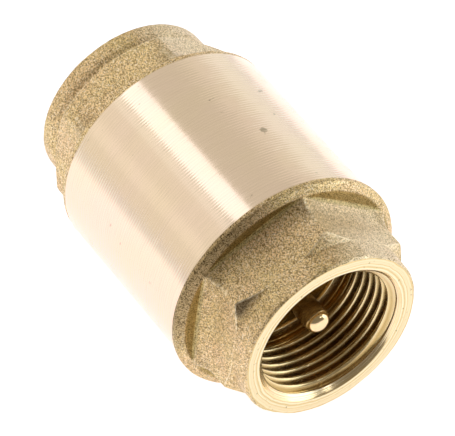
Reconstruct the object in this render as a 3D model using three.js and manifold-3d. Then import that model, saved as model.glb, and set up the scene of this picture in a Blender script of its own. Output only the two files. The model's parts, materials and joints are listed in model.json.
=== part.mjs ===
// Spring-loaded in-line check valve with two G 3/4 female ends, in brass.
// Millimetres. +X runs along the bore towards the inlet end, +Z is up, and the origin is
// on the bore's axis, half-way between the two end faces.
// An outline is a list of [x, radius] points that is turned about X.

import * as THREE from 'three';
import { mergeVertices } from 'three/addons/utils/BufferGeometryUtils.js';
import Module from 'manifold-3d';

const wasm = await Module();
wasm.setup();

// ---- driving dimensions ----
const LENGTH = 63.5;
const HALF = LENGTH / 2;
const GAP = 0.3; // between pieces that touch on the real valve
const OVERLAP = 0.2; // between solids that are joined into one piece
const CLEAR = 1; // how far a cutter runs past the piece that it cuts
const ROUND = 48; // flats on a turned surface; the flats lie on the true radius

// outside
const SLEEVE_R = 20.5;
const SLEEVE_FROM = -17.6;
const SHOULDER_LENGTH = 1.3; // of the rounded shoulder behind the sleeve
const SHOULDER_DROP = 1.2;
const FLANGE_R = 21.1;
const FLANGE_BACK = 17.2;
const FLANGE_FRONT = 19;
const RIM_BLEND = 0.9; // rounding of the forged rims
const HEX_CORNER = THREE.MathUtils.degToRad(23); // first corner, from +Y towards +Z
const HEX_ROOT_R = 17.3; // half across the flats where a hexagon leaves its shoulder
const HEX_ROOT_CORNER_R = 19.3;
const HEX_ROOT_LENGTH = 2.6;
const END_FACE_R = 16.03;
// Each hexagon: half its width across the flats, the radius that cuts its corners, the
// round collar at its end, and the length of the cone between corners and collar.
const INLET_HEX = { flatR: 16, cornerR: 18.6, collarR: 16.4, collarLength: 4.1, coneLength: 1.7 };
const OUTLET_HEX = { flatR: 16.4, cornerR: 18.45, collarR: 16.3, collarLength: 3.75, coneLength: 1.4 };

// G 3/4 socket, as depths from the end face
const MOUTH_R = 13.65;
const THREAD_MAJOR_R = 13.22;
const THREAD_MINOR_R = 12.06;
const THREAD_PITCH = 1.814;
const THREAD_TURNS = 7;
const FIRST_CREST = 1;
const RELIEF_R = 13.4;
const RELIEF_FROM = 13.2;
const RELIEF_TO = 14.1;
const SHOULDER_TO = 14.6;
const WATERWAY_R = 11.5;

// joint between the two halves
const SPIGOT_R = 17;
const SPIGOT_NOSE = 6.3;
const SPIGOT_BORE_R = SPIGOT_R + GAP + 0.05;
const SEAL_POCKET_R = 18.9;
const SEAL_POCKET_DEPTH = 1.8;
const SEAL_SECTION_R = 0.65;
const SEAL_SECTION_SIDES = 8;

// seat and chamber
const SEAT_FACE = 5.5;
const SEAT_R = 10.4;
const SEAT_LIP_R = 11.6;
const SEAT_CONE = [9.6, 8]; // the waterway narrows to the seat between these x
const CHAMBER_R = 16;
const CHAMBER_MOUTH = 5.2;
const CHAMBER_CONE = [-11, -14.6];

// poppet
const LIFT = 7;
const STEM_R = 2.2;
const STEM_TIP = 29.25;
const STEM_TAIL = -17;
const NOSE_R = 2.05;
const NOSE_HEIGHT = 1.35; // of the domed end that faces the inlet
const DOME_STEPS = 5;
const TAIL_CHAMFER = 0.4;
const STEM_BORE_R = STEM_R + GAP;
const SEAL_R = 12.4;
const SEAL_THICKNESS = 2.3;
const DISC_R = 12.7;
const DISC_THICKNESS = 2.8;
const DISC_BEVEL = 0.6; // axial length of the bevel on its back; it is twice as wide
const RETAINER_R = 8.8;
const RETAINER_THICKNESS = 1.2;
const NUT_R = 4; // half of the 8 mm across the flats
const NUT_THICKNESS = 2.6;
const COLLAR_STOP_R = 3.4; // the stem's collar, which meets the outlet hub at full lift
const COLLAR_STOP_THICKNESS = 1.4;

// guides
const HUB_R = 4;
const ARM_COUNT = 3;
const ARM_WIDTH = 2.4;
const INLET_HUB_FRONT = 13.6;
const INLET_ARM = [10.3, 13];
const OUTLET_HUB_BACK = -16.2;
const OUTLET_ARM = [-15.5, -13];
const INLET_ARM_REACH = 12.5;
const OUTLET_ARM_REACH = 13.5;

// spring
const WIRE_R = 0.45;
const WIRE_SIDES = 8;
const SPRING_R = 5; // to the wire's centre
const SPRING_TURNS = 5;
const STEPS_PER_TURN = 14;

// ---- where the poppet's pieces lie along X, from the seat ----
const SEAL_FRONT = SEAT_FACE - GAP;
const SEAL_BACK = SEAL_FRONT - SEAL_THICKNESS;
const DISC_FRONT = SEAL_BACK - GAP;
const DISC_BACK = DISC_FRONT - DISC_THICKNESS;
const RETAINER_BACK = SEAL_FRONT + GAP;
const RETAINER_FRONT = RETAINER_BACK + RETAINER_THICKNESS;
const NUT_BACK = RETAINER_FRONT + GAP;
const NUT_FRONT = NUT_BACK + NUT_THICKNESS;
const STOP_FRONT = DISC_BACK - GAP;
const STOP_BACK = STOP_FRONT - COLLAR_STOP_THICKNESS;
const INLET_HUB_BACK = NUT_FRONT + GAP;
const OUTLET_HUB_FRONT = STOP_BACK - LIFT - GAP;

// ---- solids ----

// A manifold solid from a closed three.js geometry.
function solid(geometry) {
  const bare = geometry.clone();
  bare.deleteAttribute('normal');
  bare.deleteAttribute('uv');
  const merged = mergeVertices(bare, 1e-4);
  return new wasm.Manifold(new wasm.Mesh({
    numProp: 3,
    vertProperties: merged.attributes.position.array,
    triVerts: new Uint32Array(merged.index.array),
  }));
}

// A solid of revolution about X. The outline starts and ends on the axis, or closes on itself.
// It runs with x rising on the outside, so that the faces point out.
function turned(outline, sides = ROUND, corner = Math.PI / sides) {
  const toCorner = 1 / Math.cos(Math.PI / sides);
  const points = outline.map(([x, r]) => new THREE.Vector2(r * toCorner, x));
  if (outline[0][1] > 0) points.push(points[0].clone());
  const geometry = new THREE.LatheGeometry(points, sides, corner - Math.PI / 2);
  geometry.rotateZ(-Math.PI / 2);
  return solid(geometry);
}

// A ring or washer between two x and two radii.
function ring(back, front, inner, outer, sides = ROUND) {
  return turned([[back, inner], [back, outer], [front, outer], [front, inner]], sides);
}

// A plain round plug on the axis.
function plug(back, front, radius, sides = ROUND) {
  return turned([[back, 0], [back, radius], [front, radius], [front, 0]], sides);
}

// The same outline seen from the other end of the valve, still with x rising.
function mirrored(outline) {
  return outline.map(([x, r]) => [-x, r]).reverse();
}

// A mesh of three.js from a manifold solid.
function piece(name, body, material) {
  const { vertProperties, triVerts } = body.getMesh();
  const geometry = new THREE.BufferGeometry();
  geometry.setAttribute('position', new THREE.BufferAttribute(vertProperties, 3));
  geometry.setIndex(new THREE.BufferAttribute(triVerts, 1));
  geometry.computeVertexNormals();
  const mesh = new THREE.Mesh(geometry, material);
  mesh.name = name;
  return mesh;
}

// ---- shapes that both ends share ----

// The hexagon of one end, drawn at +X: a forged root, flats that run on to the end face,
// and corners that a cone and a round collar cut back.
function hexagonEnd(shoulder, { flatR, cornerR, collarR, collarLength, coneLength }) {
  const rootEnd = shoulder + HEX_ROOT_LENGTH;
  const rootBend = shoulder + HEX_ROOT_LENGTH / 3;
  const flats = turned([
    [shoulder, 0],
    [shoulder, HEX_ROOT_R],
    [rootBend, flatR + (HEX_ROOT_R - flatR) / 4],
    [rootEnd, flatR],
    [HALF, flatR],
    [HALF, 0],
  ], 6, HEX_CORNER);
  const collarStart = HALF - collarLength;
  const envelope = turned([
    [shoulder - CLEAR, 0],
    [shoulder - CLEAR, HEX_ROOT_CORNER_R],
    [rootBend, HEX_ROOT_CORNER_R],
    [rootEnd, cornerR],
    [collarStart - coneLength, cornerR],
    [collarStart, collarR],
    [HALF - 2 * (collarR - END_FACE_R), collarR],
    [HALF, END_FACE_R],
    [HALF, 0],
  ]);
  return flats.intersect(envelope);
}

// Points of the inlet socket, from its bottom to its mouth.
function socketOutline() {
  const points = [
    [HALF - SHOULDER_TO, WATERWAY_R],
    [HALF - RELIEF_TO, RELIEF_R],
    [HALF - RELIEF_FROM, RELIEF_R],
  ];
  for (let turn = THREAD_TURNS - 1; turn >= 0; turn -= 1) {
    const crest = HALF - FIRST_CREST - turn * THREAD_PITCH;
    points.push([crest - THREAD_PITCH / 2, THREAD_MAJOR_R], [crest, THREAD_MINOR_R]);
  }
  const chamfer = MOUTH_R - THREAD_MAJOR_R;
  points.push([HALF - chamfer, THREAD_MAJOR_R], [HALF + chamfer, MOUTH_R + chamfer]);
  return points;
}

// A guide for the stem: a hub and the arms that join it to the wall.
function guide(hubBack, hubFront, [armBack, armFront], reach) {
  let body = plug(hubBack, hubFront, HUB_R, ROUND / 2);
  for (let k = 0; k < ARM_COUNT; k += 1) {
    const arm = new THREE.BoxGeometry(armFront - armBack, reach, ARM_WIDTH);
    arm.translate((armBack + armFront) / 2, reach / 2, 0);
    arm.rotateX(Math.PI / 2 + k * 2 * Math.PI / ARM_COUNT);
    body = body.add(solid(arm));
  }
  return body.subtract(plug(hubBack - CLEAR, hubFront + CLEAR, STEM_BORE_R, ROUND / 2));
}

// ---- the two halves of the housing ----

function endAdapter() {
  const outside = turned([
    [SEAT_FACE, 0],
    [SEAT_FACE, SEAT_LIP_R],
    [SPIGOT_NOSE, SEAT_LIP_R],
    [SPIGOT_NOSE, SPIGOT_R],
    [FLANGE_BACK, SPIGOT_R],
    [FLANGE_BACK, FLANGE_R],
    [FLANGE_FRONT - RIM_BLEND, FLANGE_R],
    [FLANGE_FRONT - RIM_BLEND / 3, FLANGE_R - RIM_BLEND / 3],
    [FLANGE_FRONT, FLANGE_R - RIM_BLEND],
    [FLANGE_FRONT, 0],
  ]);
  const bore = turned([
    [SEAT_FACE - CLEAR, 0],
    [SEAT_FACE - CLEAR, SEAT_R],
    [SEAT_CONE[1], SEAT_R],
    [SEAT_CONE[0], WATERWAY_R],
    ...socketOutline(),
    [HALF + MOUTH_R - THREAD_MAJOR_R, 0],
  ]);
  return outside
    .add(hexagonEnd(FLANGE_FRONT - OVERLAP, INLET_HEX))
    .subtract(bore)
    .add(guide(INLET_HUB_BACK, INLET_HUB_FRONT, INLET_ARM, INLET_ARM_REACH));
}

function valveBody() {
  const mouth = FLANGE_BACK - GAP;
  const shoulder = SLEEVE_FROM - SHOULDER_LENGTH;
  const outside = turned([
    [shoulder, 0],
    [shoulder, SLEEVE_R - SHOULDER_DROP],
    [shoulder + SHOULDER_LENGTH / 3, SLEEVE_R - SHOULDER_DROP / 3],
    [SLEEVE_FROM, SLEEVE_R],
    [mouth, SLEEVE_R],
    [mouth, 0],
  ]);
  const bore = turned([
    [-HALF + THREAD_MAJOR_R - MOUTH_R, 0],
    ...mirrored(socketOutline()),
    [CHAMBER_CONE[1], WATERWAY_R],
    [CHAMBER_CONE[0], CHAMBER_R],
    [CHAMBER_MOUTH, CHAMBER_R],
    [CHAMBER_MOUTH, SPIGOT_BORE_R],
    [mouth - SEAL_POCKET_DEPTH, SPIGOT_BORE_R],
    [mouth - SEAL_POCKET_DEPTH, SEAL_POCKET_R],
    [mouth + CLEAR, SEAL_POCKET_R],
    [mouth + CLEAR, 0],
  ]);
  return outside
    .add(hexagonEnd(-shoulder - OVERLAP, OUTLET_HEX).mirror([1, 0, 0]))
    .subtract(bore)
    .add(guide(OUTLET_HUB_BACK, OUTLET_HUB_FRONT, OUTLET_ARM, OUTLET_ARM_REACH));
}

// O-ring in the pocket at the body's mouth.
function bodySealRing() {
  const centre = (SPIGOT_R + SEAL_POCKET_R) / 2;
  const torus = new THREE.TorusGeometry(centre, SEAL_SECTION_R, SEAL_SECTION_SIDES, ROUND);
  torus.rotateY(Math.PI / 2);
  torus.translate(FLANGE_BACK - GAP - SEAL_POCKET_DEPTH / 2, 0, 0);
  return solid(torus);
}

// ---- the poppet ----

function stem() {
  const domeBase = STEM_TIP - NOSE_HEIGHT;
  const dome = [];
  for (let k = 0; k < DOME_STEPS; k += 1) {
    const angle = (k / DOME_STEPS) * Math.PI / 2;
    dome.push([domeBase + NOSE_HEIGHT * Math.sin(angle), NOSE_R * Math.cos(angle)]);
  }
  return turned([
    [STEM_TAIL, 0],
    [STEM_TAIL, STEM_R - TAIL_CHAMFER],
    [STEM_TAIL + TAIL_CHAMFER, STEM_R],
    [STOP_BACK, STEM_R],
    [STOP_BACK, COLLAR_STOP_R],
    [STOP_FRONT, COLLAR_STOP_R],
    [STOP_FRONT, STEM_R],
    [domeBase - STEM_R + NOSE_R, STEM_R],
    ...dome,
    [STEM_TIP, 0],
  ], ROUND / 2);
}

function valveDisc() {
  return turned([
    [DISC_BACK, STEM_BORE_R],
    [DISC_BACK, DISC_R - 2 * DISC_BEVEL],
    [DISC_BACK + DISC_BEVEL, DISC_R],
    [DISC_FRONT, DISC_R],
    [DISC_FRONT, STEM_BORE_R],
  ]);
}

function retainerNut() {
  const hexagon = turned([
    [NUT_BACK, 0], [NUT_BACK, NUT_R], [NUT_FRONT, NUT_R], [NUT_FRONT, 0],
  ], 6);
  return hexagon.subtract(plug(NUT_BACK - CLEAR, NUT_FRONT + CLEAR, STEM_BORE_R, ROUND / 2));
}

// ---- the spring ----

class Helix extends THREE.Curve {
  constructor(from, to, radius, turns) {
    super();
    Object.assign(this, { from, to, radius, turns });
  }

  getPoint(t, target = new THREE.Vector3()) {
    const angle = t * this.turns * 2 * Math.PI;
    const x = this.from + t * (this.to - this.from);
    return target.set(x, this.radius * Math.cos(angle), this.radius * Math.sin(angle));
  }
}

function returnSpring() {
  const inset = GAP + WIRE_R;
  const path = new Helix(OUTLET_ARM[1] + inset, DISC_BACK - inset, SPRING_R, SPRING_TURNS);
  const section = new THREE.Shape();
  for (let k = 0; k < WIRE_SIDES; k += 1) {
    const angle = (k / WIRE_SIDES) * 2 * Math.PI;
    const point = [WIRE_R * Math.cos(angle), WIRE_R * Math.sin(angle)];
    if (k === 0) section.moveTo(...point);
    else section.lineTo(...point);
  }
  section.closePath();
  const steps = SPRING_TURNS * STEPS_PER_TURN;
  return solid(new THREE.ExtrudeGeometry(section, { steps, extrudePath: path }));
}

// ---- materials ----
const FORGED_BRASS = new THREE.MeshStandardMaterial({
  color: 0xb59a63, roughness: 0.55, metalness: 1,
});
const TURNED_BRASS = new THREE.MeshStandardMaterial({
  color: 0xd9c08c, roughness: 0.28, metalness: 1,
});
const SPRING_STEEL = new THREE.MeshStandardMaterial({
  color: 0xb8bbbf, roughness: 0.25, metalness: 1,
});
const NITRILE = new THREE.MeshStandardMaterial({
  color: 0x1d1d1e, roughness: 0.75, metalness: 0,
});

// ---- assembly ----
const valve = new THREE.Group();
valve.add(
  piece('valve_body', valveBody(), FORGED_BRASS),
  piece('end_adapter', endAdapter(), FORGED_BRASS),
  piece('body_seal_ring', bodySealRing(), NITRILE),
  piece('stem', stem(), TURNED_BRASS),
  piece('valve_disc', valveDisc(), TURNED_BRASS),
  piece('disc_seal', ring(SEAL_BACK, SEAL_FRONT, STEM_BORE_R, SEAL_R), NITRILE),
  piece('seal_retainer', ring(RETAINER_BACK, RETAINER_FRONT, STEM_BORE_R, RETAINER_R), TURNED_BRASS),
  piece('retainer_nut', retainerNut(), TURNED_BRASS),
  piece('return_spring', returnSpring(), SPRING_STEEL),
);

export default valve;
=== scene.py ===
"""In-line spring check valve with two G 3/4 female ends: the visual model.

Shapes are worked out in millimetres and written to meshes in metres. Each turned or forged
piece is a shell round X: an outline of knots [x, radius], whose values may change with the
angle round the bore, counted from +Y towards +Z.
"""
import json
import math

import bpy
import numpy as np
from mathutils import Matrix, Vector, noise


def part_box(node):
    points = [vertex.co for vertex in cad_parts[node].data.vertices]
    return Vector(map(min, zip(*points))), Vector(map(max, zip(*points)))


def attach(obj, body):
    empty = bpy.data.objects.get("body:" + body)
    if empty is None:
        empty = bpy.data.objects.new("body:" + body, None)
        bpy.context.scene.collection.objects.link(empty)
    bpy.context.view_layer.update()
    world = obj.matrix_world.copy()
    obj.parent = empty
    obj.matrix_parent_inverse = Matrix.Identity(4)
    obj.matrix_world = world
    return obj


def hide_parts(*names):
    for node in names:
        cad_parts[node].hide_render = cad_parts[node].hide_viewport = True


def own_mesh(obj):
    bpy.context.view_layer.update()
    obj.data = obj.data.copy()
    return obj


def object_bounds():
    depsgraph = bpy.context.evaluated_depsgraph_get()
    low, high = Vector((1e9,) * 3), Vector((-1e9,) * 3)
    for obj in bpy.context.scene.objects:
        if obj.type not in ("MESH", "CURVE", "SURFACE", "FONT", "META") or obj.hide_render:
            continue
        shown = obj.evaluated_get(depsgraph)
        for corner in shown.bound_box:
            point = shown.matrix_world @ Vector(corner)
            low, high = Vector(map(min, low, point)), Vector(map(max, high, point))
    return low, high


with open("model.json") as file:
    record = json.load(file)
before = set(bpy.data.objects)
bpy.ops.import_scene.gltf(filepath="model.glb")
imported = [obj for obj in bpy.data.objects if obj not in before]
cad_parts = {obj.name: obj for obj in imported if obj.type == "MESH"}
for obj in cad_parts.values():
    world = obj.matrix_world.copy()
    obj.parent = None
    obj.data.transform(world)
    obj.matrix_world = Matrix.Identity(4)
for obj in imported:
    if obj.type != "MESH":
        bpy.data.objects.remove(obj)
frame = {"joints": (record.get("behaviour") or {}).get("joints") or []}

cad_box = [list(corner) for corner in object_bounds()]

MM = 0.001
HOUSING, SPRING_END, POPPET = "housing", "spring_end", "poppet"


# ---- sizes taken from the frame, in millimetres ----

def reach(node):
    """The node's lowest x, highest x and highest z at rest."""
    low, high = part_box(node)
    return low[0] / MM, high[0] / MM, high[2] / MM


SEAT_X, END_X, FLANGE_R = reach("end_adapter")
_, BODY_MOUTH, SLEEVE_R = reach("valve_body")
STEM_TAIL, STEM_TIP, STOP_R = reach("stem")
DISC_BACK, DISC_FRONT, DISC_R = reach("valve_disc")
_, _, SEAL_R = reach("disc_seal")
PLATE_BACK, PLATE_FRONT, PLATE_R = reach("seal_retainer")
_, NUT_FRONT, NUT_R = reach("retainer_nut")
SPRING_BACK, SPRING_FRONT, SPRING_R = reach("return_spring")
RING_BACK, RING_FRONT, RING_R = reach("body_seal_ring")
LIFT = next(j for j in frame["joints"] if j["name"] == "disc_lift")["range_m"][1] / MM

# ---- sizes of the fine shape, in millimetres ----
TOUCH = 0.03  # between pieces that bear on each other
JOINT_X = BODY_MOUTH + 0.24  # where the sleeve meets the flange
FLANGE_FACE = 18.9
FLANGE_EDGE_R = 19.75  # where the rim's rounding meets the flange's front face
SLEEVE_BACK = -17.6
SHOULDER_X = -18.8
HEX_CORNER = math.radians(23)
INLET_HEX = {"flat": 16.0, "corner": 18.6, "root": 17.4, "root_corner": 20.0,
             "collar_x": 27.65, "collar": 16.4, "rim": 16.4, "face": 16.03}
OUTLET_HEX = {"flat": 16.4, "corner": 18.45, "root": 17.3, "root_corner": 19.5,
              "collar_x": 28.0, "collar": 15.9, "rim": 16.42, "face": 16.38}
MOUTH_R = 13.65
MAJOR_R, MINOR_R, PITCH = 13.22, 12.06, 1.814
RELIEF_R, RELIEF_FROM, RELIEF_TO, SHOULDER_TO = 13.4, 13.2, 14.1, 14.6
WATERWAY_R, SEAT_R, LIP_R, CHAMBER_R = 11.5, 10.4, 11.6, 16.0
JOINT_MID_R, JOINT_DEPTH, JOINT_PITCH = 16.95, 0.7, 1.5
JOINT_THREAD_END, SPIGOT_END, SPIGOT_FOOT = 14.6, 15.2, 15.4
STEM_R, NOSE_R, NOSE_HEIGHT, HUB_R, HUB_BORE_R = 2.2, 2.05, 1.35, 4.0, 2.42
STOP_BACK = DISC_BACK - 1.7  # back of the stem's collar, the part nearest to the outlet hub
CHAMBER_CONE = (-11, -14.6)  # the chamber narrows to the waterway between these x
HUB_CLEARANCE = 0.3  # from the inlet hub to the shut nut, and from the outlet hub to the open collar
INLET_HUB, INLET_ARM, INLET_ARM_REACH = (NUT_FRONT + HUB_CLEARANCE, 13.6), (10.3, 13.0), 12.2
OUTLET_HUB = (-16.2, STOP_BACK - LIFT - HUB_CLEARANCE)
OUTLET_ARM, OUTLET_ARM_REACH = (-15.5, -13.0), 14.0

# material zones of the shells
FORGED, TURNED, FACED, THREADED, BRIGHT, RUBBER, STEEL = range(7)


# ---- shells ----

ARC_STEPS = 3


def knot(x, r, zone, blend=0.0, cuts=1, form=None, painted_glint=0.0):
    """A corner of an outline, rounded by blend and brightened by a painted highlight of the given
    strength. The span to the next knot has a zone and a number of bands, and its radius may
    follow form(x, angles)."""
    return {"x": x, "r": r, "zone": zone, "blend": blend, "cuts": cuts, "form": form, "painted_glint": painted_glint}


def rows_of(knots, angles, closed):
    """Rows of [x, radius, painted highlight] along the outline, and the zone of the band after each row."""
    def row_of(point, painted_glint=0.0):
        return np.column_stack([point, np.broadcast_to(painted_glint, angles.shape)])
    place = np.array([[np.broadcast_to(k[c], angles.shape) for c in "xr"] for k in knots])
    place = place.transpose(0, 2, 1).astype(float)
    after = np.roll(place, -1, axis=0)
    length = np.linalg.norm(after - place, axis=2, keepdims=True)
    step = (after - place) / np.maximum(length, 1e-9)
    blend = [np.minimum(k["blend"], 0.45 * np.minimum(length[i - 1], length[i]))
             for i, k in enumerate(knots)]
    rows, zones = [], []
    for i, k in enumerate(knots):
        following = (i + 1) % len(knots)
        start, corner, end = place[i] - step[i - 1] * blend[i], place[i], place[i] + step[i] * blend[i]
        shares = np.linspace(0, 1, ARC_STEPS + 1) if k["blend"] else [1.0]
        for s in shares:
            edge_glint = k["painted_glint"] if 0 < s < 1 or not k["blend"] else 0.0
            rows.append(row_of((1 - s) ** 2 * start + 2 * s * (1 - s) * corner + s * s * end, edge_glint))
            zones.append(knots[i - 1]["zone"] if s < 0.5 else k["zone"])
        if following == 0 and not closed:
            break
        goal = place[following] - step[i] * blend[following]
        for cut in range(1, k["cuts"]):
            row = end + (goal - end) * cut / k["cuts"]
            if k["form"]:
                row[:, 1] = k["form"](row[:, 0], angles)
            rows.append(row_of(row))
            zones.append(k["zone"])
    return np.array(rows), zones


def shell(name, body, nodes, knots, angles, closed=True):
    """A piece turned about X. An open outline ends in two points on the axis; the painted
    highlight of a closed one is kept in an attribute of its mesh."""
    rows, zones = rows_of(knots, angles, closed)
    count, around = rows.shape[:2]
    x, r = rows[..., 0], rows[..., 1]
    points = np.stack([x, r * np.cos(angles), r * np.sin(angles)], axis=-1).reshape(-1, 3)
    faces, face_zones = [], []
    for j in range(count if closed else count - 1):
        here, there = j * around, (j + 1) % count * around
        for i in range(around):
            nxt = (i + 1) % around
            faces.append((here + i, there + i, there + nxt, here + nxt))
        face_zones += [zones[j]] * around
    if not closed:
        last = (count - 1) * around
        points = np.vstack([points, [[x[0].mean(), 0, 0], [x[-1].mean(), 0, 0]]])
        for i in range(around):
            nxt = (i + 1) % around
            faces.append((len(points) - 2, i, nxt))
            faces.append((len(points) - 1, last + nxt, last + i))
        face_zones += [zones[0], zones[-1]] * around
    piece = add_piece(name, body, nodes, points * MM, faces, face_zones)
    if closed:
        edge_glint = piece.data.attributes.new("painted_glint", "FLOAT", "POINT")
        edge_glint.data.foreach_set("value", rows[..., 2].ravel())
    return piece


def add_piece(name, body, nodes, points, faces, zones):
    """A smooth-shaded mesh with its materials, riding on its body."""
    mesh = bpy.data.meshes.new(name)
    mesh.from_pydata([tuple(p) for p in points], [], faces)
    used = sorted(set(zones))
    for zone in used:
        mesh.materials.append(MATERIALS[zone])
    mesh.polygons.foreach_set("material_index", [used.index(z) for z in zones])
    mesh.polygons.foreach_set("use_smooth", [True] * len(faces))
    mesh.update()
    if FORGED in zones:
        roughen(mesh, used.index(FORGED))
    piece = bpy.data.objects.new(name, mesh)
    bpy.context.scene.collection.objects.link(piece)
    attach(piece, body)
    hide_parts(*nodes)
    return piece


ROUGH_LAYERS = ((5.5, 0.055), (1.7, 0.028), (0.7, 0.016))  # size and height, in millimetres


def roughen(mesh, forged_index):
    """Moves the vertices of the forged skin by the uneven surface of a forging, and keeps
    the whole mesh inside the CAD's box."""
    place = np.empty((len(mesh.vertices), 3))
    mesh.vertices.foreach_get("co", place.ravel())
    normals = np.array([tuple(n.vector) for n in mesh.vertex_normals])
    forged = np.ones(len(place), bool)
    for face in mesh.polygons:
        if face.material_index != forged_index:
            forged[list(face.vertices)] = False
    for v in np.flatnonzero(forged):
        at = Vector(place[v] / MM)
        height = sum(h * noise.noise(at / size) for size, h in ROUGH_LAYERS)
        place[v] += normals[v] * height * MM
    mesh.vertices.foreach_set("co", np.clip(place, *cad_box).ravel())
    mesh.update()


def even_angles(count):
    return np.arange(count) * 2 * math.pi / count


def hexagon_angles(per_side):
    """Angles that crowd towards the corners of the hexagon."""
    crowd = 0.7
    u = np.arange(per_side * 6) / per_side
    turns = u + crowd * np.sin(2 * math.pi * u) / (2 * math.pi)
    return HEX_CORNER + math.radians(30) + turns * math.radians(60)


def hexagon(angles, flat, sharpness):
    """Radius of a hexagon with rounded corners."""
    total = 0
    for k in range(6):
        facing = np.cos(angles - HEX_CORNER - math.radians(30 + 60 * k))
        total = total + np.maximum(facing, 0) ** sharpness
    return flat * total ** (-1 / sharpness)


def soft_min(a, b, blend):
    return -blend * np.log(np.exp(-a / blend) + np.exp(-b / blend))


def soft_max(a, b, blend):
    return -soft_min(-a, -b, blend)


# ---- threads ----

def thread(x, angles, middle, depth, pitch):
    """Radius of a right-hand 55 degree thread with rounded crests and roots."""
    phase = np.mod(x / pitch - angles / (2 * math.pi), 1)
    ridge = 1.5 * (4 * np.abs(phase - 0.5) - 1)
    rounded = ridge / (1 + np.abs(ridge) ** 6) ** (1 / 6)
    return middle + depth / 2 * rounded


def socket_form(side):
    """The socket's thread, cut back by the mouth's chamfer and by the relief."""
    def form(x, angles):
        depth = END_X - side * x
        cut = thread(x, angles, (MAJOR_R + MINOR_R) / 2, MAJOR_R - MINOR_R, PITCH)
        return np.maximum(cut, np.maximum(MOUTH_R - depth, RELIEF_R - RELIEF_FROM + depth))
    return form


def joint_form(offset):
    """The thread that joins the two halves; offset keeps male and female apart."""
    def form(x, angles):
        return thread(x, angles, JOINT_MID_R, JOINT_DEPTH, JOINT_PITCH) + offset
    return form


SOCKET_BANDS = 128
JOINT_BANDS = 48


def socket_knots():
    """The inlet socket, from its mouth to the waterway."""
    return [
        knot(END_X, MOUTH_R, BRIGHT, 0.1),
        knot(END_X - 0.3, MOUTH_R - 0.3, THREADED, 0, SOCKET_BANDS, socket_form(1)),
        knot(END_X - RELIEF_FROM, RELIEF_R, THREADED),
        knot(END_X - RELIEF_TO, RELIEF_R, THREADED, 0.15),
        knot(END_X - SHOULDER_TO, WATERWAY_R + 0.2, THREADED, 0.1),
        knot(END_X - SHOULDER_TO - 0.4, WATERWAY_R, THREADED, 0.1, 3),
    ]


def mirrored(knots):
    """The same knots at the outlet end, in the opposite order round the outline. Each span
    keeps its own zone, bands and form."""
    turned = []
    for before, k in zip([None] + knots[:-1], knots):
        span = before or k
        form = socket_form(-1) if span["form"] else None
        turned.append(knot(-k["x"], k["r"], span["zone"], k["blend"], span["cuts"], form, k["painted_glint"]))
    return turned[::-1]


# ---- housing ----

ROOT_LENGTH = 4.2
ROOT_STEPS = (0.0, 0.08, 0.2, 0.35, 0.55, 0.78)
CONE_LENGTH, CONE_HEIGHT = 1.65, 2.2
COLLAR_LENGTH = 1.4  # from the foot of the corner cones to the rim
HOLLOW = 0.45  # how deep the flange's face is dished behind each flat


def hexagon_knots(angles, shoulder, size):
    """The outside of a hexagon end, drawn at the inlet, from its shoulder to the end face.
    Its flats start as a sharp, wider hexagon and draw in along a hollow curve."""
    side = soft_min(hexagon(angles, size["flat"], 90), size["corner"], 0.05)
    root = soft_min(hexagon(angles, size["root"], 220), size["root_corner"], 0.04)
    from_corner = np.mod(angles - HEX_CORNER + math.radians(30), math.radians(60)) - math.radians(30)
    ridge = np.exp(-(from_corner / math.radians(1.0)) ** 2)
    shoulder = shoulder - HOLLOW * np.clip((size["root_corner"] - 0.3 - root) / 1.5, 0, 1)
    knots = []
    for s in ROOT_STEPS:
        radius = side + (root - side) * (1 - s) ** 2
        # painted highlight: a line along the flat's first bend from the flange, and lines along the hexagon's
        # corners
        edge_glint = 0.4 if s == ROOT_STEPS[1] else ridge
        blend, painted_glint = (0, edge_glint) if s else (0.2, 0)
        knots.append(knot(shoulder + ROOT_LENGTH * s, radius, FORGED, blend, 2, painted_glint=painted_glint))
    cone = np.maximum(CONE_LENGTH * (side - size["collar"]) / CONE_HEIGHT, 0.2)
    collar = soft_min(side, size["collar"], 0.04)
    rim = soft_min(side, size["rim"], 0.04)
    face = np.minimum(rim - 0.04, size["face"])
    knots += [
        # painted highlight along the hexagon's corners, and along the ridge where the flats meet the corner
        # cones
        knot(shoulder + ROOT_LENGTH, side, FORGED, 0, 6, painted_glint=ridge),
        knot(size["collar_x"] - cone, side, FORGED, 0.16, 4, painted_glint=1.0),
        knot(size["collar_x"], collar, FORGED, 0.25, 3),
        knot(size["collar_x"] + COLLAR_LENGTH, rim, FORGED, 0.5, 4),
        knot(END_X - (size["rim"] - size["face"]), rim, FORGED, 0.1),
        knot(END_X, face, FACED, 0.05, 3),
    ]
    return knots


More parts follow.
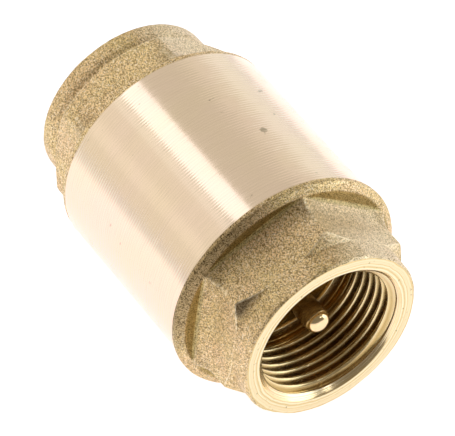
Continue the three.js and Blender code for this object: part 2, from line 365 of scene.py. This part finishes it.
def end_adapter():
    angles = hexagon_angles(48)
    spigot = JOINT_MID_R - JOINT_DEPTH / 2
    knots = [
        knot(SEAT_X, SEAT_R, FACED, 0.12),
        knot(SEAT_X, LIP_R, FACED, 0.2),
        knot(SEAT_X + 0.8, LIP_R, FACED, 0.15),
        knot(SEAT_X + 0.8, spigot - 0.3, FACED, 0.1),
        knot(SEAT_X + 1.4, spigot + 0.2, THREADED, 0, JOINT_BANDS, joint_form(-0.05)),
        knot(JOINT_THREAD_END, spigot, TURNED, 0),
        knot(SPIGOT_END, spigot, TURNED, 0.1),
        knot(SPIGOT_FOOT, spigot + 0.4, TURNED, 0.05),
        knot(JOINT_X + TOUCH, spigot + 0.4, FACED, 0.1, 2),
        knot(JOINT_X + TOUCH, FLANGE_R - 0.5, FORGED),
        knot(JOINT_X + TOUCH, FLANGE_R, FORGED, 0.2, 3),
        knot(FLANGE_FACE - 0.75, FLANGE_R, FORGED, 0.5, 3),
        knot(FLANGE_FACE + 0.05, FLANGE_EDGE_R, FORGED, 0.12, 5),
    ]
    knots += hexagon_knots(angles, FLANGE_FACE + 0.1, INLET_HEX)
    knots += socket_knots()
    knots += [
        knot(SEAT_X + 4.1, WATERWAY_R, THREADED, 0.3),
        knot(SEAT_X + 2.5, SEAT_R, THREADED, 0.3),
    ]
    return shell("end_adapter_forging", HOUSING, ["end_adapter"], knots, angles)


def valve_body():
    angles = hexagon_angles(48)
    outside = hexagon_knots(angles, -SHOULDER_X, OUTLET_HEX)
    bore = JOINT_MID_R + JOINT_DEPTH / 2
    knots = mirrored(outside)
    knots[-1]["cuts"] = 3  # the span from the hexagon's root out to the sleeve
    knots += [
        knot(SHOULDER_X, SLEEVE_R - 0.15, FORGED, 0.9, 2),
        knot(SLEEVE_BACK, SLEEVE_R, TURNED, 0.03, 12),
        knot(JOINT_X - TOUCH, SLEEVE_R, TURNED, 0.12),
        knot(JOINT_X - TOUCH, RING_R + 0.3, FACED, 0.1),
        knot(RING_BACK - 0.3, RING_R + 0.3, FACED, 0.1),
        knot(RING_BACK - 0.3, bore + 0.1, FACED, 0.1),
        knot(RING_BACK - 0.6, bore - 0.2, THREADED, 0, JOINT_BANDS, joint_form(0.05)),
        knot(SEAT_X + 0.2, bore, THREADED),
        knot(SEAT_X - 0.3, bore, FACED, 0.1),
        knot(SEAT_X - 0.3, CHAMBER_R, TURNED, 0.3, 4),
        knot(CHAMBER_CONE[0], CHAMBER_R, TURNED, 1.2, 3),
        knot(CHAMBER_CONE[1], WATERWAY_R, TURNED, 0.8),
    ]
    knots += mirrored(socket_knots())
    return shell("valve_body_forging", HOUSING, ["valve_body"], knots, angles)


ARM_HALF_WIDTH = 1.2


def guide(name, hub, arm, arm_reach):
    """A hub on three arms that carries the stem."""
    angles = even_angles(360)
    nearest = np.mod(angles - math.radians(90) + math.radians(60), math.radians(120)) - math.radians(60)
    along = ARM_HALF_WIDTH / np.maximum(np.abs(np.sin(nearest)), 0.05)
    along = np.where(np.abs(nearest) < math.radians(60), along, 0)
    out = soft_max(soft_min(along, arm_reach, 0.2), HUB_R, 0.35)
    waist = np.minimum(out - 0.1, HUB_R)
    knots = [
        knot(hub[0], HUB_BORE_R, BRIGHT, 0.15),
        knot(hub[0], HUB_R - 0.1, FORGED, 0.5, 2),
        knot(arm[0], waist, FORGED, 0.4, 4),
        knot(arm[0], out, FORGED, 0.6, 3),
        knot(arm[1], out, FORGED, 0.6, 4),
        knot(arm[1], waist, FORGED, 0.4, 2),
        knot(hub[1], HUB_R - 0.1, FORGED, 0.5, 2),
        knot(hub[1], HUB_BORE_R, BRIGHT, 0.15, 3),
    ]
    return shell(name, HOUSING, [], knots, angles)


def seal_ring():
    """O-ring between the flange and the body."""
    middle_x, section = (RING_BACK + RING_FRONT) / 2, (RING_FRONT - RING_BACK) / 2
    knots = []
    for k in range(16):
        a = -2 * math.pi * k / 16
        knots.append(knot(middle_x + section * math.sin(a), RING_R - section + section * math.cos(a), RUBBER))
    return shell("body_seal_o_ring", HOUSING, ["body_seal_ring"], knots[::-1], even_angles(160))


# ---- poppet ----

STEM_THREAD_DEPTH, STEM_THREAD_PITCH = 0.36, 0.7
NOSE_STEPS = 14


def stem():
    def form(x, angles):
        return thread(x, angles, STEM_R - STEM_THREAD_DEPTH / 2, STEM_THREAD_DEPTH, STEM_THREAD_PITCH)
    stop_front = DISC_BACK - TOUCH
    thread_end = NUT_FRONT + 0.2
    knots = [
        knot(STEM_TAIL, 0.5, BRIGHT),
        knot(STEM_TAIL, STEM_R - 0.4, BRIGHT, 0.1),
        knot(STEM_TAIL + 0.6, STEM_R, BRIGHT, 0.2, 6),
        knot(STOP_BACK, STEM_R, BRIGHT, 0.15),
        knot(STOP_BACK, STOP_R, BRIGHT, 0.2, 2),
        knot(stop_front, STOP_R, BRIGHT, 0.1),
        knot(stop_front, STEM_R, BRIGHT, 0.1, 4),
        knot(PLATE_BACK, STEM_R, BRIGHT),
        knot(PLATE_BACK + 0.3, STEM_R - STEM_THREAD_DEPTH, BRIGHT, 0, 90, form),
        knot(thread_end, STEM_R - STEM_THREAD_DEPTH, BRIGHT),
        knot(thread_end + 0.25, STEM_R, BRIGHT, 0.1, 8),
        knot(STEM_TIP - NOSE_HEIGHT - STEM_R + NOSE_R, STEM_R, BRIGHT, 0.05),
    ]
    for angle in np.linspace(0, math.pi / 2, NOSE_STEPS, endpoint=False):
        x = STEM_TIP - NOSE_HEIGHT * (1 - math.sin(angle))
        knots.append(knot(x, NOSE_R * math.cos(angle), BRIGHT))
    return shell("stem_rod", POPPET, ["stem"], knots, even_angles(72), closed=False)


def valve_disc():
    bore = STEM_R + TOUCH
    knots = [
        knot(DISC_BACK, bore, BRIGHT, 0.05, 3),
        knot(DISC_BACK, SPRING_R + 0.4, BRIGHT, 0.1),
        knot(DISC_BACK + 0.25, SPRING_R + 0.6, BRIGHT, 0.1, 3),
        knot(DISC_BACK + 0.25, DISC_R - 1.2, BRIGHT, 0.4),
        knot(DISC_BACK + 0.9, DISC_R, BRIGHT, 0.25, 2),
        knot(DISC_FRONT, DISC_R, BRIGHT, 0.15, 2),
        knot(DISC_FRONT, bore, BRIGHT, 0.05),
    ]
    return shell("valve_disc_plate", POPPET, ["valve_disc"], knots, even_angles(144))


def disc_seal():
    bore = STEM_R + TOUCH
    back, front = DISC_FRONT + TOUCH, SEAT_X - TOUCH
    knots = [
        knot(back, bore, RUBBER, 0.1, 3),
        knot(back, SEAL_R, RUBBER, 0.35),
        knot(front - 0.25, SEAL_R, RUBBER, 0.3, 2),
        knot(front - 0.25, LIP_R + 0.25, RUBBER, 0.15),
        knot(front, LIP_R + 0.05, RUBBER, 0.1, 3),
        knot(front, SEAT_R - 0.2, RUBBER, 0.1, 2),
        knot(front, bore, RUBBER, 0.1),
    ]
    return shell("disc_seal_washer", POPPET, ["disc_seal"], knots, even_angles(144))


def seal_retainer():
    bore = STEM_R + TOUCH
    knots = [
        knot(PLATE_BACK, bore, BRIGHT, 0.05, 2),
        knot(PLATE_BACK, PLATE_R, BRIGHT, 0.1),
        knot(PLATE_FRONT - 0.35, PLATE_R, BRIGHT, 0.1),
        knot(PLATE_FRONT, PLATE_R - 0.45, BRIGHT, 0.1, 3),
        knot(PLATE_FRONT, bore, BRIGHT, 0.05),
    ]
    return shell("seal_retainer_plate", POPPET, ["seal_retainer"], knots, even_angles(120))


def retainer_nut():
    angles = hexagon_angles(24)
    flat = NUT_R * math.cos(math.radians(30))
    side = hexagon(angles, flat, 240)
    bore = STEM_R + TOUCH
    face = flat - 0.1
    drop = (side - face) * math.tan(math.radians(30))
    back = PLATE_FRONT + TOUCH
    knots = [
        knot(back, bore + 0.25, BRIGHT, 0.05),
        knot(back, face, BRIGHT, 0.05),
        knot(back + drop, side, BRIGHT, 0.06, 2),
        knot(NUT_FRONT - drop, side, BRIGHT, 0.06),
        knot(NUT_FRONT, face, BRIGHT, 0.05),
        knot(NUT_FRONT, bore + 0.25, BRIGHT, 0.05),
        knot(NUT_FRONT - 0.25, bore, BRIGHT, 0.05),
        knot(back + 0.25, bore, BRIGHT, 0.05),
    ]
    return shell("retainer_nut_hex", POPPET, ["retainer_nut"], knots, angles)


# ---- spring ----

WIRE_R = 0.45
WIRE_SIDES = 14
SPRING_TURNS = 5
SPRING_STEPS = 60


def return_spring():
    """A compression spring with closed end turns."""
    back, front = SPRING_BACK - 0.27, SPRING_FRONT + 0.27
    middle_r = SPRING_R - WIRE_R
    steps = SPRING_TURNS * SPRING_STEPS
    t = np.linspace(0, 1, steps + 1)
    turn = t * SPRING_TURNS
    rise = np.interp(turn, [0, 0.75, SPRING_TURNS - 0.75, SPRING_TURNS], [0, 0.09, 0.91, 1])
    rise = np.convolve(np.pad(rise, 12, mode="edge"), np.ones(25) / 25, mode="valid")
    rise = (rise - rise[0]) / (rise[-1] - rise[0])
    x = back + WIRE_R + rise * (front - back - 2 * WIRE_R)
    angle = 2 * math.pi * turn
    centre = np.stack([x, middle_r * np.cos(angle), middle_r * np.sin(angle)], axis=1)
    tangent = np.gradient(centre, axis=0)
    tangent /= np.linalg.norm(tangent, axis=1, keepdims=True)
    outward = np.stack([0 * x, np.cos(angle), np.sin(angle)], axis=1)
    outward -= tangent * np.sum(outward * tangent, axis=1, keepdims=True)
    outward /= np.linalg.norm(outward, axis=1, keepdims=True)
    across = np.cross(tangent, outward)
    around = even_angles(WIRE_SIDES)[None, :, None]
    section = outward[:, None] * np.cos(around) + across[:, None] * np.sin(around)
    points = (centre[:, None] + WIRE_R * section).reshape(-1, 3)
    points[:, 0] = np.clip(points[:, 0], back, front)
    faces = []
    for j in range(steps):
        for i in range(WIRE_SIDES):
            nxt = (i + 1) % WIRE_SIDES
            a, b = j * WIRE_SIDES, (j + 1) * WIRE_SIDES
            faces.append((a + i, a + nxt, b + nxt, b + i))
    faces.append(tuple(range(WIRE_SIDES))[::-1])
    faces.append(tuple(steps * WIRE_SIDES + i for i in range(WIRE_SIDES)))
    zones = [STEEL] * len(faces)
    spring = add_piece("return_spring_coil", SPRING_END, ["return_spring"],
                       points * MM, faces, zones)
    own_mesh(spring)
    return spring


# ---- materials ----

class Paint:
    """A Principled material, and short calls that add nodes to it."""

    def __init__(self, name, **values):
        self.material = bpy.data.materials.new(name)
        self.material.use_nodes = True
        self.tree = self.material.node_tree
        self.shader = self.tree.nodes["Principled BSDF"]
        for socket, value in values.items():
            self.shader.inputs[socket.replace("_", " ")].default_value = value
        self.place = self.node("ShaderNodeTexCoord").outputs["Object"]
        self.mm = self.vector("SCALE", self.place, Scale=1 / MM)

    def node(self, kind, inputs=(), **settings):
        made = self.tree.nodes.new(kind)
        for key, value in settings.items():
            setattr(made, key, value)
        for key, value in dict(inputs).items():
            self.put(made.inputs[key], value)
        return made

    def put(self, socket, value):
        if isinstance(value, bpy.types.NodeSocket):
            self.tree.links.new(value, socket)
        else:
            socket.default_value = value

    def vector(self, operation, a, b=None, **inputs):
        made = self.node("ShaderNodeVectorMath", {0: a, **inputs}, operation=operation)
        if b is not None:
            self.put(made.inputs[1], b)
        return made.outputs["Value" if operation in ("LENGTH", "DOT_PRODUCT") else "Vector"]

    def math(self, operation, a, b=0.0, c=0.0):
        made = self.node("ShaderNodeMath", {0: a, 1: b, 2: c}, operation=operation)
        return made.outputs[0]

    def noise(self, scale, detail=2.0, roughness=0.5, at=None, stretch=(1, 1, 1)):
        """3-D noise in millimetres; scale is features per millimetre."""
        where = self.vector("MULTIPLY", at or self.mm, stretch)
        made = self.node("ShaderNodeTexNoise", {
            "Vector": where, "Scale": scale, "Detail": detail, "Roughness": roughness})
        return made.outputs["Fac"]

    def grains(self, scale, output="Color"):
        """Grains packed side by side: a random value each, or the distance to the nearest."""
        made = self.node("ShaderNodeTexVoronoi", {"Vector": self.mm, "Scale": scale})
        if output == "Color":
            return self.node("ShaderNodeSeparateColor", {0: made.outputs["Color"]}).outputs[0]
        return made.outputs[output]

    def lines(self, where, scale, detail=1.0):
        """1-D noise along where, which is a length in millimetres."""
        made = self.node("ShaderNodeTexNoise", {"W": where, "Scale": scale, "Detail": detail},
                         noise_dimensions="1D")
        return made.outputs["Fac"]

    def range(self, value, low, high, to_low=0.0, to_high=1.0):
        made = self.node("ShaderNodeMapRange", {
            "Value": value, "From Min": low, "From Max": high, "To Min": to_low, "To Max": to_high})
        return made.outputs["Result"]

    def mix(self, share, a, b):
        made = self.node("ShaderNodeMix", {"Factor": share, 6: (*a, 1) if isinstance(a, tuple) else a,
                                           7: (*b, 1) if isinstance(b, tuple) else b}, data_type="RGBA")
        return made.outputs[2]

    def bump(self, height, depth_mm, strength=1.0, normal=None):
        made = self.node("ShaderNodeBump", {
            "Height": height, "Distance": depth_mm * MM, "Strength": strength})
        if normal:
            self.put(made.inputs["Normal"], normal)
        return made.outputs["Normal"]

    def axis(self, index):
        return self.node("ShaderNodeSeparateXYZ", {0: self.mm}).outputs[index]

    def radius(self):
        return self.vector("LENGTH", self.vector("MULTIPLY", self.mm, (0, 1, 1)))

    def finish(self, colour, roughness, normal):
        self.put(self.shader.inputs["Base Color"], colour)
        self.put(self.shader.inputs["Roughness"], roughness)
        self.put(self.shader.inputs["Normal"], normal)
        return self.material


def round_x(degrees):
    """The unit direction across X at this angle."""
    return (0, math.cos(math.radians(degrees)), math.sin(math.radians(degrees)))


# directions round X: the sides that get painted shade, and the flat that gets painted light
DARK_RIM, DARK_CORNER, DARK_FLAT, LIT_FLAT = round_x(145), round_x(138), round_x(113), round_x(53)
CONE_START = INLET_HEX["collar_x"] - CONE_LENGTH
# radius plus slope times x, which is the same all over the cone
CORNER_CONE = INLET_HEX["corner"] + CONE_START * CONE_HEIGHT / CONE_LENGTH


def painted_shade_and_light(p, colour, speck):
    """Painted shade over the colour: on one side of the flange's rim and of the corner cones,
    in the hollow between the flange and the hexagon, at the foot of the hexagon's corners,
    on the inlet's flat that faces DARK_FLAT, and inside the bore. One flat of the hexagon is
    painted paler than the rest, as painted light."""
    x, r = p.axis(0), p.radius()
    outward = p.vector("NORMALIZE", p.vector("MULTIPLY", p.mm, (0, 1, 1)))

    def towards(direction, low, high, most):
        return p.range(p.vector("DOT_PRODUCT", outward, direction), low, high, 0.0, most)

    # a speckled tone between dark and light, used for each painted shade and the painted light below
    def skin(dark, light):
        return p.mix(p.range(speck, 0.25, 0.65), dark, light)

    # painted light: the hexagon flats facing 53 degrees round X are painted paler, below the flange's rim
    lit_flat = p.math("MULTIPLY", towards(LIT_FLAT, 0.80, 0.95, 0.6), p.range(r, 19.3, 18.8))
    colour = p.mix(lit_flat, colour, skin((0.46, 0.35, 0.20), (1.0, 0.85, 0.62)))
    # painted shade: one side of the flange's rim, the foot of the hexagon's corners and the inlet's flat
    # facing 113 degrees round X are painted darker
    rim = p.math("MULTIPLY", p.range(r, 19.4, 19.9), p.range(x, 16.0, 16.5))
    rim = p.math("MULTIPLY", rim, towards(DARK_RIM, 0.62, 0.90, 0.85))
    foot = p.math("MULTIPLY", p.range(p.math("ABSOLUTE", x), 24.0, 21.5, 0.0, 0.35), p.range(r, 17.5, 18.4))
    foot = p.math("MULTIPLY", foot, p.range(r, 19.9, 19.7))
    inlet_half = p.math("MULTIPLY", towards(DARK_FLAT, 0.60, 0.95, 0.14), p.range(x, 0.0, 1.0))
    dark = p.math("MAXIMUM", inlet_half, p.math("MAXIMUM", rim, foot))
    colour = p.mix(dark, colour, skin((0.06, 0.04, 0.015), (0.49, 0.345, 0.165)))
    # painted shade in the hollow between the flange's face and the hexagon's flats
    hollow = p.math("MULTIPLY", p.range(x, 19.3, 19.0), p.range(x, 18.2, 18.4, 0.0, 0.75))
    hollow = p.math("MULTIPLY", hollow, p.range(r, 19.8, 19.3))
    colour = p.mix(hollow, colour, skin((0.16, 0.12, 0.03), (0.60, 0.455, 0.17)))
    # painted shade on the inlet hexagon's corner cones, on the side facing 138 degrees round X
    slope = p.math("MULTIPLY_ADD", x, CONE_HEIGHT / CONE_LENGTH, r)
    cone = p.math("MULTIPLY", p.range(slope, CORNER_CONE - 0.35, CORNER_CONE - 0.1), p.range(r, 16.5, 17.2))
    cone = p.math("MULTIPLY", cone, towards(DARK_CORNER, 0.976, 0.990, 0.95))
    colour = p.mix(cone, colour, skin((0.06, 0.04, 0.02), (0.24, 0.17, 0.09)))
    # painted shade inside the bore, on the forged guides' hubs and arms
    return p.mix(p.range(r, 14.5, 14.0, 0.0, 0.9), colour, skin((0.09, 0.07, 0.02), (0.24, 0.18, 0.06)))


FINE_GRAIN, COARSE_GRAIN = 9.0, 7.4  # grains per millimetre of the blasted skin


def forged_brass():
    """Blasted forging skin: fine grain with painted glints, small pits, painted highlights along
    the ridges, and painted shade and painted light by side, in the hollows and in the bore.
    """
    p = Paint("forged_brass", Metallic=1.0)
    fine = p.noise(FINE_GRAIN, 2.0, 0.7)
    grain = p.grains(COARSE_GRAIN)
    speck = p.math("ADD", p.math("MULTIPLY", grain, 0.6), p.math("MULTIPLY", fine, 0.4))
    lumps = p.noise(1.4, 2.0, 0.5)
    patches = p.noise(0.13, 2.0, 0.5)
    light = p.mix(p.range(patches, 0.35, 0.65), (0.97, 0.695, 0.375), (0.95, 0.725, 0.345))
    colour = p.mix(p.range(speck, 0.25, 0.60), (0.27, 0.17, 0.065), light)
    # painted glints: the brightest grains are painted near white
    colour = p.mix(p.range(grain, 0.84, 0.95, 0.0, 0.8), colour, (1.0, 0.88, 0.66))
    colour = p.mix(p.range(lumps, 0.58, 0.74, 0.0, 0.35), colour, (0.40, 0.29, 0.13))
    # painted shade and painted light, by side, in the hollows and in the bore
    colour = painted_shade_and_light(p, colour, speck)
    # painted highlight along the forged ridges, read from the mesh attribute and weaker on the lumps
    painted_glint = p.node("ShaderNodeAttribute", attribute_name="painted_glint").outputs["Fac"]
    painted_glint = p.math("MULTIPLY", painted_glint, p.range(lumps, 0.35, 0.60, 0.9, 0.3))
    colour = p.mix(painted_glint, colour, (1.0, 0.86, 0.60))
    pebbles = p.bump(p.grains(COARSE_GRAIN, "Distance"), 0.032, 0.9, p.bump(lumps, 0.06, 0.5))
    normal = p.bump(fine, 0.03, 1.0, pebbles)
    return p.finish(colour, p.range(speck, 0.3, 0.7, 0.56, 0.36), normal)


RIB_PITCH = 0.55  # feed marks of the lathe, in millimetres


def turned_brass():
    """Turned sleeve: feed marks and finer tool marks round the axis, faint stains, specks."""
    p = Paint("turned_brass", Metallic=1.0)
    fine = p.noise(7.0, 2.0, 0.6, stretch=(1, 0.04, 0.04))
    marks = p.noise(1.8, 2.0, 0.6, stretch=(1, 0.12, 0.12))
    phase = p.math("MULTIPLY_ADD", marks, 2.5, p.math("MULTIPLY", p.axis(0), 2 * math.pi / RIB_PITCH))
    depth = p.range(p.noise(0.45, 1.0, stretch=(1, 0.35, 0.35)), 0.35, 0.65, 0.55, 1.3)
    ribs = p.math("ADD", p.math("MULTIPLY", p.math("SINE", phase), depth), p.lines(p.axis(0), 1.9, 2.0))
    patches = p.noise(0.09, 2.0, 0.55)
    stains = p.noise(0.55, 2.0, 0.6, stretch=(1.0, 0.6, 0.6))
    colour = p.mix(p.range(patches, 0.35, 0.65), (0.925, 0.737, 0.575), (0.915, 0.747, 0.545))
    colour = p.mix(p.range(fine, 0.30, 0.70, 0.0, 0.28), colour, (0.78, 0.61, 0.45))
    colour = p.mix(p.range(ribs, 0.6, 1.4, 0.0, 0.11), colour, (0.66, 0.50, 0.34))
    stains = p.math("MULTIPLY", p.range(stains, 0.71, 0.77, 0.0, 0.7), p.range(p.axis(2), 0.0, 8.0))
    colour = p.mix(stains, colour, (0.30, 0.26, 0.17))
    normal = p.bump(fine, 0.010, 0.8, p.bump(marks, 0.03, 0.6, p.bump(ribs, 0.013, 0.7)))
    return p.finish(colour, p.range(marks, 0.3, 0.7, 0.12, 0.19), normal)


def faced_brass():
    """Faced ends and seats: concentric tool marks and a few pits."""
    p = Paint("faced_brass", Metallic=1.0)
    r = p.radius()
    fine = p.lines(r, 7.0, 2.0)
    coarse = p.lines(p.math("MULTIPLY_ADD", p.noise(0.3, 1.0), 0.5, r), 3.0, 1.0)
    pits = p.noise(1.6, 3.0, 0.6)
    colour = p.mix(p.range(coarse, 0.38, 0.62), (0.74, 0.57, 0.28), (1.0, 0.83, 0.54))
    colour = p.mix(p.range(pits, 0.66, 0.72), colour, (0.38, 0.28, 0.12))
    normal = p.bump(fine, 0.015, 0.8, p.bump(coarse, 0.05, 0.6, p.bump(pits, 0.04, 0.6)))
    return p.finish(colour, p.range(coarse, 0.3, 0.7, 0.24, 0.36), normal)


def threaded_brass():
    """Cut thread: glossy crests, and painted shade that darkens the roots away from the mouth."""
    p = Paint("threaded_brass", Metallic=1.0)
    fine = p.noise(9.0, 2.0, 0.6, stretch=(1, 0.05, 0.05))
    patches = p.noise(0.4, 2.0, 0.5)
    crest = p.mix(p.range(patches, 0.35, 0.65), (0.86, 0.66, 0.34), (0.92, 0.74, 0.42))
    # painted shade: darker where the radius reaches the thread's roots and the wider bores, from about 1.5 mm
    # inside the mouth
    depth = p.range(p.math("ADD", p.radius(), p.math("MULTIPLY", patches, 0.3)), 12.30, 12.75)
    inside = p.range(p.math("ABSOLUTE", p.axis(0)), END_X - 0.9, END_X - 1.5)
    colour = p.mix(p.math("MULTIPLY", depth, inside), crest, (0.55, 0.37, 0.14))
    mouth = p.range(p.math("ABSOLUTE", p.axis(0)), END_X - 1.3, END_X - 0.8)
    rings = p.lines(p.radius(), 6.0, 2.0)
    chamfer = p.mix(p.range(rings, 0.42, 0.60), (0.80, 0.60, 0.32), (0.99, 0.83, 0.56))
    colour = p.mix(mouth, colour, chamfer)
    normal = p.bump(fine, 0.010, 0.7, p.bump(patches, 0.03, 0.3, p.bump(rings, 0.03, 0.6)))
    return p.finish(colour, p.range(fine, 0.3, 0.7, 0.18, 0.28), normal)


def bright_brass():
    """Bright turned small parts."""
    p = Paint("bright_brass", Metallic=1.0)
    fine = p.lines(p.axis(0), 10.0, 2.0)
    rings = p.lines(p.radius(), 8.0, 2.0)
    patches = p.noise(0.5, 2.0, 0.5)
    colour = p.mix(p.range(patches, 0.35, 0.65), (0.91, 0.70, 0.38), (0.93, 0.75, 0.45))
    # painted shade on the stem in front of the retainer nut, and in the inlet hub's bore
    neck_shade = p.range(p.axis(0), NUT_FRONT, NUT_FRONT + 2, 0.0, 0.85)
    neck_shade = p.math("MULTIPLY", neck_shade, p.range(p.radius(), NOSE_R, NOSE_R + 0.08))
    neck_shade = p.math("MULTIPLY", neck_shade, p.range(p.radius(), 3.0, 2.8))
    colour = p.mix(neck_shade, colour, (0.34, 0.20, 0.06))
    normal = p.bump(fine, 0.006, 0.6, p.bump(rings, 0.006, 0.5))
    return p.finish(colour, p.range(fine, 0.3, 0.7, 0.13, 0.20), normal)


def nitrile():
    """Moulded black rubber."""
    p = Paint("nitrile_rubber", Metallic=0.0)
    grain = p.noise(5.0, 2.0, 0.6)
    bloom = p.noise(0.3, 2.0, 0.5)
    colour = p.mix(p.range(bloom, 0.3, 0.7), (0.022, 0.022, 0.024), (0.045, 0.045, 0.046))
    return p.finish(colour, p.range(grain, 0.3, 0.7, 0.55, 0.72), p.bump(grain, 0.02, 0.6))


def spring_steel():
    """Drawn stainless wire."""
    p = Paint("spring_steel", Metallic=1.0)
    draw = p.noise(3.0, 2.0, 0.5, stretch=(4, 1, 1))
    colour = p.mix(p.range(draw, 0.3, 0.7), (0.56, 0.57, 0.58), (0.68, 0.69, 0.70))
    return p.finish(colour, p.range(draw, 0.3, 0.7, 0.20, 0.32), p.bump(draw, 0.01, 0.5))


MATERIALS = {
    FORGED: forged_brass(), TURNED: turned_brass(), FACED: faced_brass(),
    THREADED: threaded_brass(), BRIGHT: bright_brass(), RUBBER: nitrile(), STEEL: spring_steel(),
}

# ---- the valve ----
end_adapter()
valve_body()
guide("inlet_guide", INLET_HUB, INLET_ARM, INLET_ARM_REACH)
guide("outlet_guide", OUTLET_HUB, OUTLET_ARM, OUTLET_ARM_REACH)
seal_ring()
stem()
valve_disc()
disc_seal()
seal_retainer()
retainer_nut()
return_spring()


# ---- floor, light and camera ----

def floor():
    """A plain white table that glows a little, as a lit sweep does."""
    half = 3.0
    z = cad_box[0][2]
    mesh = bpy.data.meshes.new("floor")
    corners = [(-half, -half, z), (half, -half, z), (half, half, z), (-half, half, z)]
    mesh.from_pydata(corners, [], [(0, 1, 2, 3)])
    table = bpy.data.objects.new("floor", mesh)
    bpy.context.scene.collection.objects.link(table)
    material = bpy.data.materials.new("floor_white")
    material.use_nodes = True
    shader = material.node_tree.nodes["Principled BSDF"]
    shader.inputs["Base Color"].default_value = (0.80, 0.82, 0.86, 1)
    shader.inputs["Roughness"].default_value = 0.8
    shader.inputs["Emission Color"].default_value = (0.93, 0.93, 1.0, 1)
    nodes, links = material.node_tree.nodes, material.node_tree.links
    distance = nodes.new("ShaderNodeVectorMath")
    distance.operation = "LENGTH"
    links.new(nodes.new("ShaderNodeTexCoord").outputs["Object"], distance.inputs[0])
    fade = nodes.new("ShaderNodeMapRange")
    fade.inputs["From Min"].default_value = 0.16
    fade.inputs["From Max"].default_value = 0.32
    fade.inputs["To Min"].default_value = 0.80
    fade.inputs["To Max"].default_value = 0.35
    links.new(distance.outputs["Value"], fade.inputs["Value"])
    links.new(fade.outputs["Result"], shader.inputs["Emission Strength"])
    mesh.materials.append(material)


BACK_SLANT = -0.585  # x of the directions that the sleeve mirrors towards the camera
COOL, NEUTRAL, WARM = (0.86, 0.94, 1.0), (0.96, 0.98, 1.0), (1.0, 0.96, 0.94)
LILAC, SKY = (0.80, 0.84, 1.0), (0.64, 0.85, 1.0)


def across(start, end):
    """The sector between two angles round X that a softbox fills."""
    return math.radians(start), math.radians(end)


def softbox(name, sector, distance, length, radiance, colour):
    """A rectangular lamp behind the valve that faces it across a sector round X."""
    middle, half = (sector[0] + sector[1]) / 2, (sector[1] - sector[0]) / 2
    side = math.sqrt(1 - BACK_SLANT ** 2)
    toward = Vector((BACK_SLANT, side * math.cos(middle), side * math.sin(middle)))
    lamp(name, toward, Vector((0, -math.sin(middle), math.cos(middle))), distance,
         2 * distance * math.tan(half * side), length, radiance, colour)


def lamp(name, toward, across_axis, distance, width, length, radiance, colour):
    """An area lamp in the direction toward, with its width along across_axis."""
    turn = Matrix((across_axis, toward.cross(across_axis), toward)).transposed()
    data = bpy.data.lights.new(name, "AREA")
    data.shape = "RECTANGLE"
    data.size, data.size_y = width, length
    data.energy = radiance * math.pi * width * length
    data.color = colour
    light = bpy.data.objects.new(name, data)
    light.matrix_world = Matrix.Translation(toward * distance) @ turn.to_4x4()
    bpy.context.scene.collection.objects.link(light)


def front_lamp(name, toward, distance, size, radiance, colour):
    """A square lamp in front of the valve."""
    toward = Vector(toward).normalized()
    lamp(name, toward, Vector((0, 0, 1)).cross(toward).normalized(), distance, size, size, radiance, colour)


def camera():
    toward = Vector((0.5847, -0.3690, 0.7224))
    distance = 0.6032
    aim = Vector((0.0004, 0.0001, -0.0002))
    data = bpy.data.cameras.new("camera")
    data.lens = 288.1
    data.sensor_width = 36
    data.clip_start, data.clip_end = 0.01, 20
    eye = bpy.data.objects.new("camera", data)
    turn = toward.to_track_quat("Z", "Y").to_matrix().to_4x4()
    eye.matrix_world = Matrix.Translation(aim + toward * distance) @ turn
    bpy.context.scene.collection.objects.link(eye)
    bpy.context.scene.camera = eye


def surroundings():
    world = bpy.data.worlds.new("studio")
    world.use_nodes = True
    nodes, links = world.node_tree.nodes, world.node_tree.links
    direction = nodes.new("ShaderNodeTexCoord").outputs["Generated"]
    split = nodes.new("ShaderNodeSeparateXYZ")
    links.new(direction, split.inputs[0])
    share = nodes.new("ShaderNodeMapRange")
    share.interpolation_type = "SMOOTHSTEP"
    share.inputs["From Min"].default_value = -0.45
    share.inputs["From Max"].default_value = 0.35
    links.new(split.outputs["X"], share.inputs["Value"])
    blend = nodes.new("ShaderNodeMix")
    blend.data_type = "RGBA"
    blend.inputs[6].default_value = (0.69, 0.66, 0.60, 1)
    blend.inputs[7].default_value = (0.22, 0.20, 0.17, 1)
    links.new(share.outputs["Result"], blend.inputs["Factor"])
    links.new(blend.outputs[2], nodes["Background"].inputs["Color"])
    bpy.context.scene.world = world
    bpy.context.scene.view_settings.view_transform = "Standard"


floor()
softbox("key", across(96, 115.5), 1.0, 1.2, 0.88, LILAC)
softbox("key_wing", across(115.5, 127), 1.05, 1.2, 0.13, SKY)
softbox("fill", across(117, 186), 1.1, 1.2, 0.20, WARM)
softbox("fill_core", across(148, 162), 1.2, 1.2, 0.09, NEUTRAL)
softbox("side_low", across(-12, 26), 1.1, 1.2, 0.245, SKY)
softbox("side_high", across(-12, 48), 1.2, 1.2, 0.12, NEUTRAL)
front_lamp("right", (0.42, 0.86, 0.22), 1.0, 0.8, 2.1, COOL)
front_lamp("spot", (0.72, 0.37, 0.58), 1.0, 0.14, 5.0, NEUTRAL)
camera()
surroundings()
